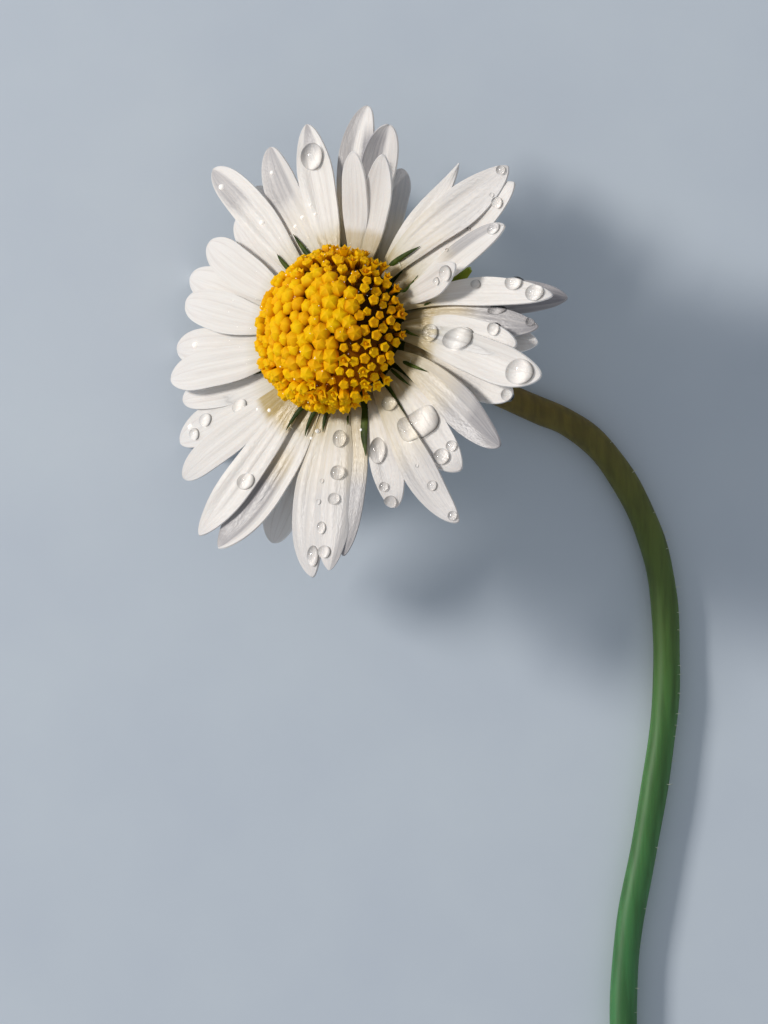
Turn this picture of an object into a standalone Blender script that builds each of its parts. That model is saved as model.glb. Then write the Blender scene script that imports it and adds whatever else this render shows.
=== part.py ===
"""A picked daisy, lying on its curved stem and on three petal tips. Metres, +Z up."""

import math
import random

import bpy
from mathutils import Matrix, Vector

# All sizes are in millimetres. The origin is at the middle of the part's footprint.
MM = 0.001

# The flower head: the middle of its petal ring, and the way that the head faces.
HEAD = Vector((-3.97, 19.83, 8.6))
FACING = Vector((-0.51, 0.15, 0.847)).normalized()
ACROSS = (Vector((1, 0, 0)) - FACING * FACING.x).normalized()
UPWARD = FACING.cross(ACROSS)

# The petals.
BLADE = 0.6
ROOT_RADIUS = 3.3
PETAL_COLUMNS = 4
# How far along its petal each row of points lies, closer together at the tip.
PETAL_ROWS = (0, 0.18, 0.36, 0.54, 0.7, 0.84, 0.94, 1)
COLLAR_PROFILE = ((2.6, -0.95), (3.9, -0.95), (4.0, -0.5), (3.9, 0.05), (3.6, 0.2), (2.6, 0.2))

# The disc: a domed core with florets in a sunflower spiral.
FLORETS = 125
OPEN_FROM = 0.45
CORE_RADIUS = 3.62
CORE_BASE = 0.75
CORE_RISE = 2.6
STEEPEST = math.radians(84)
GOLDEN_ANGLE = math.pi * (3 - math.sqrt(5))

# The green cup and its bracts.
BRACTS = 13
BRACT_BLADE = 0.6
CUP_PROFILE = ((1.0, -4.7), (1.35, -4.7), (2.3, -4.15), (3.4, -3.1), (4.1, -1.9), (4.0, -1.25), (1.0, -1.25))
BRACT_START = math.radians(5.5)
BRACT_PATH = ((2.0, -4.0), (3.5, -3.25), (4.6, -2.35), (5.7, -1.95), (6.9, -2.0))
BRACT_WIDTHS = (1.3, 1.9, 1.9, 1.5, 0.35)

# The stem: its radius, and the height of its middle line where it lies.
STEM_RADIUS = 0.7
LYING_HEIGHT = 0.66
NECK_STEPS = 9
STEM_STEPS = 2
# Places that the lying stem runs through, across and up from the head's middle.
STEM_RUN = (
    (9.8, -3.95), (11.2, -4.55), (12.65, -5.6), (13.95, -7.25), (15.0, -9.2), (15.75, -11.3),
    (16.15, -13.6), (16.27, -16.2), (16.2, -19.0), (15.75, -22.5), (15.1, -26.3), (14.4, -30.0),
    (14.1, -33.5), (14.15, -37.5), (14.5, -42.0), (15.1, -46.5), (15.9, -51.0),
)

# One petal a line: its tip across and up from the head's middle as seen from above, the tip's
# height over the ring, the direction of its root in degrees, its width, the turn at its tip in
# degrees, how far it is hollowed, its bow, and its layer (0 front, 2 back).
PETALS = (
    (10.25, 1.60, 0.0, 13, 1.35, -8, 0.10, 0.1, 0),
    (11.10, 1.55, -1.1, 8, 1.40, -20, 0.08, 0.1, 2),
    (8.00, 5.05, 0.8, 18, 1.30, -18, 0.10, 0.1, 0),
    (8.50, 7.25, -0.4, 34, 1.40, -12, 0.10, 0.1, 1),
    (8.10, 8.15, 0.4, 50, 1.75, 6, 0.12, 0.2, 0),
    (5.70, 8.35, -0.7, 55, 1.30, 58, 0.10, 0.2, 1),
    (2.95, 8.15, -1.4, 63, 1.70, 22, 0.08, 0.3, 2),
    (1.90, 8.75, 1.4, 71, 1.50, 8, 0.12, -0.2, 0),
    (2.20, 10.35, -0.2, 74, 1.70, 48, 0.16, 0.4, 1),
    (0.40, 8.95, 1.6, 82, 1.55, -6, 0.12, -0.2, 0),
    (1.10, 11.25, -0.6, 92, 2.00, -28, 0.14, 0.3, 2),
    (-1.90, 10.40, -0.1, 101, 1.85, 4, 0.14, 0.2, 0),
    (-3.75, 9.35, -0.8, 114, 1.75, -10, 0.12, 0.3, 1),
    (-4.60, 7.30, -1.6, 123, 1.60, -12, 0.08, 0.3, 2),
    (-6.75, 8.10, -0.5, 131, 1.65, 10, 0.12, 0.3, 0),
    (-5.65, 5.40, -2.2, 142, 1.60, 0, 0.06, 0.4, 2),
    (-6.95, 4.50, -1.7, 151, 1.80, 6, 0.10, 0.5, 0),
    (-7.80, 2.60, -2.9, 162, 1.85, -4, 0.08, 0.6, 1),
    (-8.05, 1.30, -1.9, 172, 1.90, 5, 0.10, 0.6, 0),
    (-8.55, -0.85, -2.95, 182, 1.80, -5, 0.08, 0.6, 1),
    (-8.85, -2.35, -1.9, 191, 1.85, 4, 0.10, 0.6, 0),
    (-8.20, -3.35, -2.7, 201, 1.70, 0, 0.06, 0.5, 2),
    (-8.40, -5.55, -3.65, 211, 1.75, -6, 0.10, 0.6, 1),
    (-8.10, -7.50, -1.6, 219, 1.65, -10, 0.10, 0.5, 0),
    (-7.35, -10.25, 0.1, 228, 1.65, -12, 0.12, 0.3, 0),
    (-6.40, -10.95, -0.5, 240, 1.75, 12, 0.16, 0.3, 1),
    (-3.70, -10.65, -1.6, 249, 1.70, 0, 0.06, 0.3, 2),
    (-1.60, -12.35, -0.4, 254, 1.75, 22, 0.10, 0.3, 1),
    (-0.85, -12.05, 0.5, 267, 1.80, -4, 0.14, 0.2, 0),
    (-0.20, -11.50, -0.4, 277, 1.70, -30, 0.10, 0.2, 1),
    (2.45, -8.90, -1.8, 290, 1.70, -12, 0.10, 0.5, 1),
    (5.65, -9.60, 0.5, 295, 1.75, -6, 0.12, 0.2, 0),
    (5.80, -7.00, -0.4, 322, 1.55, -8, 0.10, 0.3, 1),
    (7.75, -5.70, 0.6, 332, 1.45, 24, 0.14, 0.2, 0),
    (8.35, -3.20, -0.6, 344, 1.60, 0, 0.08, 0.2, 2),
    (9.75, -2.05, 0.5, 358, 2.00, 8, 0.12, 0.2, 0),
    (9.60, -0.70, -0.6, 356, 1.40, 0, 0.08, 0.2, 2),
    (9.60, 0.20, 0.0, 4, 1.50, -6, 0.10, 0.2, 1),
)


def clear_scene():
    for obj in list(bpy.data.objects):
        bpy.data.objects.remove(obj, do_unlink=True)


def new_collection(name):
    collection = bpy.data.collections.new(name)
    bpy.context.scene.collection.children.link(collection)
    return collection


def material(name, colour, roughness):
    """A plain Principled BSDF material; the colour is linear."""
    made = bpy.data.materials.new(name)
    made.use_nodes = True
    shader = made.node_tree.nodes["Principled BSDF"]
    shader.inputs["Base Color"].default_value = (*colour, 1)
    shader.inputs["Roughness"].default_value = roughness
    made.diffuse_color = (*colour, 1)
    return made


def head_point(radius, angle, height):
    """The point at a radius and an angle round the head, and a height over its petal ring."""
    spoke = ACROSS * math.cos(angle) + UPWARD * math.sin(angle)
    return HEAD + spoke * radius + FACING * height


def head_matrix():
    """Places a shape that was modelled round +Z, in millimetres, on the head."""
    turned = Matrix((ACROSS, UPWARD, FACING)).transposed().to_4x4()
    return Matrix.Scale(MM, 4) @ Matrix.Translation(HEAD) @ turned


def adopt(collection, name=None):
    """Moves the active object into a collection, and names it."""
    obj = bpy.context.active_object
    for old in list(obj.users_collection):
        old.objects.unlink(obj)
    collection.objects.link(obj)
    if name:
        obj.name = name
        obj.data.name = name
    return obj


def bake(obj):
    """Replaces the object's mesh with the result of its modifiers."""
    graph = bpy.context.evaluated_depsgraph_get()
    baked = bpy.data.meshes.new_from_object(obj.evaluated_get(graph))
    obj.modifiers.clear()
    old = obj.data
    obj.data = baked
    bpy.data.meshes.remove(old)


def to_world(obj, matrix):
    obj.data.transform(matrix)
    obj.data.update()


def turned_ring(name, profile, collection, steps):
    """A ring turned from a closed profile of (radius, height) pairs, on the head."""
    mesh = bpy.data.meshes.new(name)
    count = len(profile)
    edges = [(i, (i + 1) % count) for i in range(count)]
    mesh.from_pydata([(radius, 0, height) for radius, height in profile], edges, [])
    obj = bpy.data.objects.new(name, mesh)
    collection.objects.link(obj)
    screw = obj.modifiers.new("turn", "SCREW")
    screw.steps = steps
    screw.render_steps = steps
    screw.use_normal_calculate = True
    screw.use_merge_vertices = True
    screw.merge_threshold = 0.0001
    bake(obj)
    to_world(obj, head_matrix())
    return obj


def blade(name, places, thickness, collection):
    """A thin blade of even thickness over rows of points, its two faces split alike."""
    rows = len(places)
    columns = len(places[0])
    bpy.ops.mesh.primitive_grid_add(x_subdivisions=columns - 1, y_subdivisions=rows - 1, size=1)
    obj = adopt(collection, name)
    for index, vertex in enumerate(obj.data.vertices):
        row, column = divmod(index, columns)
        vertex.co = places[row][column] * MM
    split = obj.modifiers.new("split", "TRIANGULATE")
    split.quad_method = "FIXED"
    thick = obj.modifiers.new("thickness", "SOLIDIFY")
    thick.thickness = thickness * MM
    thick.offset = 0
    bake(obj)
    for vertex in obj.data.vertices:
        vertex.co.z = max(vertex.co.z, 0)
    return obj


def bezier(points, t):
    a, b, c, d = points
    s = 1 - t
    place = a * s**3 + b * 3 * s * s * t + c * 3 * s * t * t + d * t**3
    along = (b - a) * s * s + (c - b) * 2 * s * t + (d - c) * t * t
    return place, along.normalized()


def petal_width(t):
    """Share of the full width: a narrow root, widest past the middle, a rounded tip."""
    grown = 0.42 + 0.58 * math.sin(min(t / 0.6, 1) * math.pi / 2)
    end = max(t - 0.7, 0) / 0.3
    return grown * math.sqrt(max(1 - 0.95 * end**2.2, 0))


def petal_places(across, up, height, root, width, turn, hollow, bow, layer):
    """Rows of points over one petal, root first."""
    level = -0.05 - 0.3 * layer
    tip_depth = (height - FACING.x * across - FACING.y * up) / FACING.z
    tip = HEAD + Vector((across, up, tip_depth))
    angle = math.radians(root)
    start = head_point(ROOT_RADIUS, angle, level)
    spoke = (head_point(1, angle, 0) - HEAD).normalized()
    length = (tip - start).length
    path = (start, start + spoke * length * 0.36, start.lerp(tip, 0.68) + FACING * bow, tip)
    rows = []
    for t in PETAL_ROWS:
        place, along = bezier(path, t)
        side = FACING.cross(along).normalized()
        side.rotate(Matrix.Rotation(math.radians(turn) * t * t, 3, along))
        normal = along.cross(side)
        half = width * petal_width(t) / 2
        points = []
        for column in range(PETAL_COLUMNS + 1):
            share = 2 * column / PETAL_COLUMNS - 1
            lift = hollow * width * (share * share - 0.5) * min(t * 2, 1)
            points.append(place + side * half * share + normal * lift)
        rows.append(points)
    return rows


def bract_places(angle):
    rows = []
    for (radius, height), width in zip(BRACT_PATH, BRACT_WIDTHS):
        points = []
        for share in (-1, 0, 1):
            turned = angle + share * math.atan2(width / 2, radius)
            points.append(head_point(radius, turned, height))
        rows.append(points)
    return rows


def floret_mesh(opened):
    """A disc floret in millimetres, standing on the origin: a closed bud, or a five-lobed funnel."""
    if opened:
        bpy.ops.mesh.primitive_cone_add(
            vertices=10, radius1=0, radius2=0.38, depth=1.5, end_fill_type="TRIFAN"
        )
    else:
        bpy.ops.mesh.primitive_uv_sphere_add(segments=6, ring_count=4, radius=0.4)
    obj = bpy.context.active_object
    mesh = obj.data.copy()
    bpy.data.objects.remove(obj)
    for vertex in mesh.vertices:
        if not opened:
            vertex.co.z *= 1.2
            continue
        if vertex.co.z > 0:
            spoke = round(math.atan2(vertex.co.y, vertex.co.x) / (math.pi / 5))
            if vertex.co.xy.length < 0.01:
                vertex.co.z -= 0.25
            elif spoke % 2 == 0:
                vertex.co.xy *= 1.1
            else:
                vertex.co.xy *= 0.72
                vertex.co.z -= 0.12
        vertex.co.z -= 0.2
    return mesh


def floret_place(share):
    """How steeply the core falls away at this share of the florets, counted from the top."""
    slope = math.acos(1 - share * (1 - math.cos(STEEPEST)))
    return slope, CORE_RADIUS * math.sin(slope), CORE_BASE + CORE_RISE * math.cos(slope)


def fuse(base, pieces):
    """Joins a collection of bodies to the base with one union, then removes them."""
    union = base.modifiers.new("fuse", "BOOLEAN")
    union.operation = "UNION"
    union.operand_type = "COLLECTION"
    union.collection = pieces
    union.solver = "MANIFOLD"
    bake(base)
    for obj in list(pieces.objects):
        bpy.data.objects.remove(obj, do_unlink=True)


def build_petals(part, pieces):
    collar = turned_ring("petals", COLLAR_PROFILE, part, 36)
    for petal in PETALS:
        blade("petal", petal_places(*petal), BLADE, pieces)
    fuse(collar, pieces)
    return collar


def build_disc(part, pieces):
    chance = random.Random(11)
    profile = [(0, -0.95), (2.3, -0.95), (2.3, 0.5), (3.4, 0.5)]
    for step in range(6):
        slope = math.radians(90 - step * 15)
        profile.append((CORE_RADIUS * math.sin(slope), CORE_BASE + CORE_RISE * math.cos(slope)))
    profile.append((0, CORE_BASE + CORE_RISE))
    core = turned_ring("disc", profile, part, 20)
    shapes = {True: floret_mesh(True), False: floret_mesh(False)}
    for index in range(FLORETS):
        share = (index + 0.5) / FLORETS
        slope, radius, height = floret_place(share)
        opened = share > OPEN_FROM
        turn = index * GOLDEN_ANGLE
        obj = bpy.data.objects.new("floret", shapes[opened].copy())
        pieces.objects.link(obj)
        size = 1.0 + chance.uniform(-0.08, 0.08)
        lean = slope + chance.uniform(-0.1, 0.1)
        place = Matrix.Rotation(turn, 4, "Z") @ Matrix.Translation((radius, 0, height))
        place = place @ Matrix.Rotation(lean * (0.85 if opened else 1), 4, "Y")
        place = place @ Matrix.Rotation(chance.uniform(0, 6.3), 4, "Z") @ Matrix.Scale(size, 4)
        to_world(obj, head_matrix() @ place)
    fuse(core, pieces)
    return core


def build_involucre(part, pieces):
    cup = turned_ring("involucre", CUP_PROFILE, part, 36)
    for index in range(BRACTS):
        angle = BRACT_START + index * 2 * math.pi / BRACTS
        blade("bract", bract_places(angle), BRACT_BLADE, pieces)
    fuse(cup, pieces)
    return cup


def smoothed(places):
    """The places with points of a smooth curve set between them."""
    padded = [places[0] * 2 - places[1], *places, places[-1] * 2 - places[-2]]
    smooth = []
    for before, first, last, after in zip(padded, padded[1:], padded[2:], padded[3:]):
        path = (first, first + (last - before) / 6, last - (after - first) / 6, last)
        smooth.extend(bezier(path, step / STEM_STEPS)[0] for step in range(STEM_STEPS))
    return smooth + [places[-1]]


def stem_line():
    """The stem's middle line: out of the cup, round the bend behind the head, and along."""
    start = HEAD - FACING * 4.7
    run = [Vector((HEAD.x + across, HEAD.y + up, LYING_HEIGHT)) for across, up in STEM_RUN]
    onward = run[1] - run[0]
    bend = (start, start - FACING * 3.4, run[0] - onward.normalized() * 4.2, run[0])
    points = [HEAD + FACING * height for height in (-1.25, -3.0)]
    points.extend(bezier(bend, step / NECK_STEPS)[0] for step in range(NECK_STEPS))
    return points + smoothed(run)


def build_stem(part):
    points = stem_line()
    curve = bpy.data.curves.new("stem", "CURVE")
    curve.dimensions = "3D"
    curve.bevel_depth = STEM_RADIUS * MM
    curve.bevel_resolution = 2
    curve.use_fill_caps = True
    spline = curve.splines.new("POLY")
    spline.points.add(len(points) - 1)
    for point, place in zip(spline.points, points):
        point.co = (*(place * MM), 1)
    guide = bpy.data.objects.new("stem", curve)
    part.objects.link(guide)
    graph = bpy.context.evaluated_depsgraph_get()
    mesh = bpy.data.meshes.new_from_object(guide.evaluated_get(graph))
    bpy.data.objects.remove(guide)
    stem = bpy.data.objects.new("stem", mesh)
    part.objects.link(stem)
    for vertex in mesh.vertices:
        vertex.co.z = max(vertex.co.z, 0)
    return stem


def finish(obj, look):
    obj.data.materials.clear()
    obj.data.materials.append(look)
    bpy.ops.object.select_all(action="DESELECT")
    obj.select_set(True)
    bpy.context.view_layer.objects.active = obj
    bpy.ops.object.shade_smooth_by_angle(angle=math.radians(40))


clear_scene()
part = new_collection("daisy")
pieces = new_collection("pieces")
petals = build_petals(part, pieces)
disc = build_disc(part, pieces)
involucre = build_involucre(part, pieces)
stem = build_stem(part)
bpy.data.collections.remove(pieces)

finish(petals, material("petal_white", (0.84, 0.82, 0.80), 0.45))
finish(disc, material("floret_yellow", (0.89, 0.52, 0.02), 0.55))
finish(involucre, material("bract_green", (0.10, 0.17, 0.04), 0.6))
finish(stem, material("stem_green", (0.08, 0.16, 0.04), 0.55))
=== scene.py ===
# %% [markdown]
# # A picked daisy with dew on its petals
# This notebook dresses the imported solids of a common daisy: a domed yellow disc, white petals in
# layers, the green cup behind them and a long bare stem. The solids fix where everything is. The
# cells below replace each of them with a finer piece in the same place, and then add the water.

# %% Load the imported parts
import math
import random

import bmesh
import bpy
from mathutils import Matrix, Vector
from mathutils.bvhtree import BVHTree


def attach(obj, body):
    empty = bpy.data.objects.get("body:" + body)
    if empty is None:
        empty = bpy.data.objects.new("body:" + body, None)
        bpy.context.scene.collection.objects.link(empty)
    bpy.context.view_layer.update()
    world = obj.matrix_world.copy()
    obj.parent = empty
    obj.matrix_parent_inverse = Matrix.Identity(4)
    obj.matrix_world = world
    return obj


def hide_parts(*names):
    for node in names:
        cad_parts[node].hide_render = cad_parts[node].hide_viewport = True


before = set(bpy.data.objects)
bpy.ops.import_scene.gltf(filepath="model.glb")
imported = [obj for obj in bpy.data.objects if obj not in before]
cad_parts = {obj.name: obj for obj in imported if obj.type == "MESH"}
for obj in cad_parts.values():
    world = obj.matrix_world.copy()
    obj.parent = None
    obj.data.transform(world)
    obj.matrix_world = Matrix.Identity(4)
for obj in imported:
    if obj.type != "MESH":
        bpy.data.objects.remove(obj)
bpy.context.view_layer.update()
print("solids:", sorted(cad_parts))

# %% [markdown]
# ## The flower's own directions
# A daisy's head is built in rings round its axis, so most pieces are easiest to make round the
# world's Z axis, in millimetres, and to tip over afterwards. The head's middle and the way that it
# faces are the part's own values. One matrix carries a finished mesh from the workbench to them.

# %% Where the head is and how it faces
MM = 0.001
HEAD = Vector((-3.97, 19.83, 8.6))
FACING = Vector((-0.51, 0.15, 0.847)).normalized()
ACROSS = (Vector((1, 0, 0)) - FACING * FACING.x).normalized()
UPWARD = FACING.cross(ACROSS)
TO_HEAD = Matrix.Translation(HEAD) @ Matrix((ACROSS, UPWARD, FACING)).transposed().to_4x4()
TO_METRES = Matrix.Scale(MM, 4)
chance = random.Random(4)


def head_point(radius, angle, height):
    """A point round the head, in millimetres: its radius, direction and height over the petals."""
    return TO_HEAD @ Vector((radius * math.cos(angle), radius * math.sin(angle), height))


print("the head leans", round(math.degrees(math.acos(FACING.z)), 1), "degrees")

# %% [markdown]
# ## A few tools
# An operator acts on everything that is selected, so each piece starts with nothing selected. A
# shape that repeats is made once and copied with its own mesh, and the copies are then joined.

# %% Selecting, applying and joining
def deselect():
    if bpy.context.mode != "OBJECT":
        bpy.ops.object.mode_set(mode="OBJECT")
    bpy.ops.object.select_all(action="DESELECT")


def choose(*objects):
    deselect()
    for obj in objects:
        obj.select_set(True)
    bpy.context.view_layer.objects.active = objects[0]


def apply_modifiers(obj):
    choose(obj)
    for modifier in list(obj.modifiers):
        bpy.ops.object.modifier_apply(modifier=modifier.name)


def copy_of(obj, matrix):
    """A copy with its own mesh, moved by the matrix."""
    made = obj.copy()
    made.data = obj.data.copy()
    made.data.transform(matrix)
    bpy.context.scene.collection.objects.link(made)
    return made


def join(name, objects):
    choose(*objects)
    if len(objects) > 1:
        bpy.ops.object.join()
    obj = bpy.context.active_object
    obj.name = name
    obj.data.name = name
    return obj


def smooth(obj, degrees=50):
    choose(obj)
    bpy.ops.object.shade_smooth_by_angle(angle=math.radians(degrees))


def keep(obj, node, slot, *materials):
    """Puts a finished piece on the part, in place of a solid where it names one."""
    obj.data.materials.clear()
    for material in materials:
        obj.data.materials.append(material)
    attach(obj, "root")
    if node:
        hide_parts(node)
    print(obj.name, len(obj.data.polygons), "faces")


def mark(obj, name, value):
    """Gives every point of the mesh a number that a material can read: one, a list or a rule."""
    layer = obj.data.attributes.new(name, "FLOAT", "POINT")
    if callable(value):
        value = [value(vertex.co) for vertex in obj.data.vertices]
    elif not isinstance(value, list):
        value = [value] * len(layer.data)
    layer.data.foreach_set("value", value)


# %% [markdown]
# ## Materials
# Colours are written as the hex values that a colour picker shows. A screen's values aren't in
# proportion to light, so one function turns them to linear ones. A second function adds a node
# with its settings, its links and a colour ramp's stops, and every material is built from it.

# %% Colour and node helpers
def light_of(code):
    channels = [int(code[i:i + 2], 16) / 255 for i in (1, 3, 5)]
    linear = [c / 12.92 if c <= 0.04045 else ((c + 0.055) / 1.055) ** 2.4 for c in channels]
    return (*linear, 1)


def new_material(name, **sockets):
    material = bpy.data.materials.new(name)
    material.use_nodes = True
    shader = material.node_tree.nodes["Principled BSDF"]
    for socket, value in sockets.items():
        shader.inputs[socket.replace("_", " ")].default_value = value
    return material, material.node_tree, shader


def add(tree, kind, settings=None, stops=(), **sockets):
    """Adds a node. A socket gets a value, an output or a node, which stands for its first output.
    A colour ramp gets its stops."""
    node = tree.nodes.new("ShaderNode" + kind)
    for name, value in (settings or {}).items():
        setattr(node, name, value)
    for name, value in sockets.items():
        key = int(name[1:]) if name[1:].isdigit() else name.replace("_", " ")
        if isinstance(value, bpy.types.Node):
            value = value.outputs[0]
        if isinstance(value, bpy.types.NodeSocket):
            tree.links.new(value, node.inputs[key])
        else:
            node.inputs[key].default_value = value
    for _ in stops[2:]:
        node.color_ramp.elements.new(0.5)
    for number, (place, code) in enumerate(stops):
        element = node.color_ramp.elements[number]
        element.position, element.color = place, light_of(code)
    return node


BLEND = {"data_type": "RGBA"}
MULTIPLY = {"data_type": "RGBA", "blend_type": "MULTIPLY"}

# %% [markdown]
# ## Petal tissue
# A daisy's petal is a thin sheet of colourless cells full of air, which scatter light like snow.
# That gives the eye a warm white with a soft satin gloss, light that leaks through to the shaded
# side, and fine veins that run from root to tip. Eight to ten veins cross a petal 1.7 mm wide, so
# they are about 0.18 mm apart. The petal's own UV map runs across and along it, so a wave stretched
# along the petal draws them wherever it bends. The root is cream, where the sheet is thickest.
# Where dew has filled the air spaces, the tissue turns glassy: tan at the root, grey at the tip.
# The same colours are also painted on as shade, where a petal lies in another's shadow, turns away
# from the lamp or lies in the disc's shadow at its root.

# %% The petal material
petal_tissue, tree, shader = new_material(
    "petal_tissue", Subsurface_Weight=0.3, Subsurface_Radius=(1.0, 0.9, 0.8),
    Subsurface_Scale=0.14 * MM, Sheen_Weight=0.08,
)
uv = add(tree, "UVMap", {"uv_map": "UVMap"}).outputs["UV"]
split = add(tree, "SeparateXYZ", Vector=uv)
tone, wet_and_shade = (
    add(tree, "Attribute", {"attribute_name": name}).outputs["Fac"] for name in ("tone", "wet_and_shade")
)
shifted = add(tree, "CombineXYZ", X=tone, Y=tone)
moved = add(tree, "VectorMath", {"operation": "ADD"}, _0=uv, _1=shifted)
across_petal = add(tree, "Mapping", Vector=moved, Scale=(7, 0.6, 1))
veins = add(tree, "TexNoise", Vector=across_petal, Scale=2.0, Detail=4, Roughness=0.6)
cells_at = add(tree, "Mapping", Vector=moved, Scale=(18, 30, 1))
cells = add(tree, "TexNoise", Vector=cells_at, Scale=1.2, Detail=2)
along_colour = add(
    tree, "ValToRGB", Fac=split.outputs["Y"],
    stops=((0.0, "#B4AC84"), (0.1, "#D6CFB8"), (0.24, "#F1EDE7"), (1.0, "#F6F2EF")),
)
vein_colour = add(
    tree, "ValToRGB", Fac=veins, stops=((0.28, "#DAD4D2"), (0.45, "#F4F1EF"), (0.62, "#FFFFFF"))
)
body_colour = add(tree, "Mix", MULTIPLY, _0=0.5, _6=along_colour, _7=vein_colour).outputs[2]
wet_and_shade_edge = add(
    tree, "MapRange", Value=veins, From_Min=0.3, From_Max=0.7, To_Min=-0.2, To_Max=0.2
)
ragged = add(tree, "Math", {"operation": "ADD"}, _0=wet_and_shade, _1=wet_and_shade_edge)
soaked_and_shaded = add(tree, "MapRange", Value=ragged, From_Min=0.12)
# Soaked tissue and painted shade share this colour: tan at the root and grey towards the tip.
wet_and_shade_colour = add(
    tree, "ValToRGB", Fac=split.outputs["Y"],
    stops=(
        (0.0, "#9C864C"), (0.16, "#B8A062"), (0.3, "#D0BC90"), (0.45, "#8E8B90"), (1.0, "#949197"),
    ),
)
tissue_colour = add(tree, "Mix", BLEND, _0=soaked_and_shaded, _6=body_colour, _7=wet_and_shade_colour).outputs[2]
tree.links.new(tissue_colour, shader.inputs["Base Color"])
rough = add(tree, "MapRange", Value=cells, To_Min=0.34, To_Max=0.55)
glossy = add(tree, "Mix", _0=soaked_and_shaded, _2=rough, _3=0.28).outputs[0]
tree.links.new(glossy, shader.inputs["Roughness"])
vein_bump = add(tree, "Bump", Strength=0.36, Distance=0.03 * MM, Height=veins)
cell_bump = add(
    tree, "Bump", Strength=0.6, Distance=0.03 * MM, Height=cells, Normal=vein_bump
)
tree.links.new(cell_bump.outputs["Normal"], shader.inputs["Normal"])
print("petal tissue:", len(tree.nodes), "nodes")

# %% [markdown]
# ## The petals
# Each petal is a single long floret that has grown out flat on one side. No two are alike: the
# front ones stand up towards the eye, the left ones bend back until they touch the surface, and
# some are rolled or creased. So every petal has its own line of values. A flat grid is the right
# start, because its points can be laid row by row along a curve. Solidify then makes it a quarter
# of a millimetre thick, and thinner at the rim.

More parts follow.
